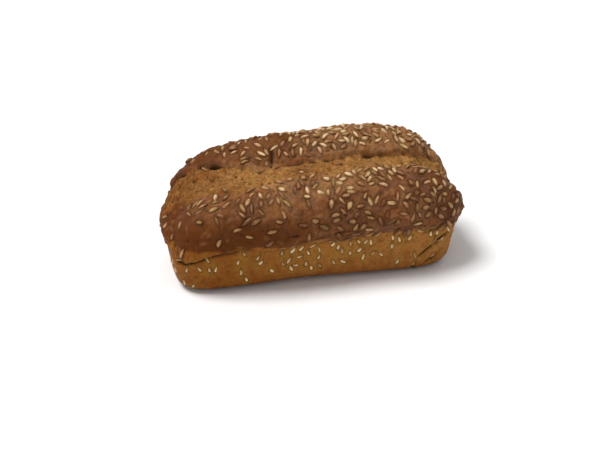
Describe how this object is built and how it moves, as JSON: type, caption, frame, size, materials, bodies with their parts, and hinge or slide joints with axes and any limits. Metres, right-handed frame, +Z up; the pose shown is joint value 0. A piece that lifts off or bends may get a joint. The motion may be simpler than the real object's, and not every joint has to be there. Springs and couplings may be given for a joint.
{
  "type": "tin loaf",
  "caption": "Oblong wholemeal tin loaf with a split, seeded crown that overhangs its straight tin-shaped sides, standing on a flat base.",
  "frame": {"origin": "on the surface the loaf stands on, under the middle of its bounding box", "axes": "+X along the loaf, +Y across it from the front to the back, +Z up"},
  "size_m": [0.2644, 0.1288, 0.1166],
  "materials": {
    "crust": "baked wholemeal crust, matt with a faint sheen on the crown",
    "kernel": "toasted sunflower kernel, satin"
  },
  "bodies": {
    "root": {"bread": "crust", "kernel_01": "kernel", "kernel_02": "kernel", "kernel_03": "kernel", "kernel_04": "kernel", "kernel_05": "kernel", "kernel_06": "kernel", "kernel_07": "kernel", "kernel_08": "kernel", "kernel_09": "kernel", "kernel_10": "kernel", "kernel_11": "kernel", "kernel_12": "kernel", "kernel_13": "kernel", "kernel_14": "kernel", "kernel_15": "kernel", "kernel_16": "kernel", "kernel_17": "kernel", "kernel_18": "kernel", "kernel_19": "kernel", "kernel_20": "kernel", "kernel_21": "kernel", "kernel_22": "kernel", "kernel_23": "kernel", "kernel_24": "kernel", "kernel_25": "kernel", "kernel_26": "kernel", "kernel_27": "kernel", "kernel_28": "kernel", "kernel_29": "kernel", "kernel_30": "kernel", "kernel_31": "kernel", "kernel_32": "kernel", "kernel_33": "kernel", "kernel_34": "kernel", "kernel_35": "kernel", "kernel_36": "kernel", "kernel_37": "kernel", "kernel_38": "kernel", "kernel_39": "kernel", "kernel_40": "kernel", "kernel_41": "kernel", "kernel_42": "kernel", "kernel_43": "kernel", "kernel_44": "kernel", "kernel_45": "kernel", "kernel_46": "kernel", "kernel_47": "kernel", "kernel_48": "kernel", "kernel_49": "kernel", "kernel_50": "kernel", "kernel_51": "kernel", "kernel_52": "kernel", "kernel_53": "kernel", "kernel_54": "kernel", "kernel_55": "kernel", "kernel_56": "kernel", "kernel_57": "kernel", "kernel_58": "kernel", "kernel_59": "kernel"}
  },
  "joints": []
}
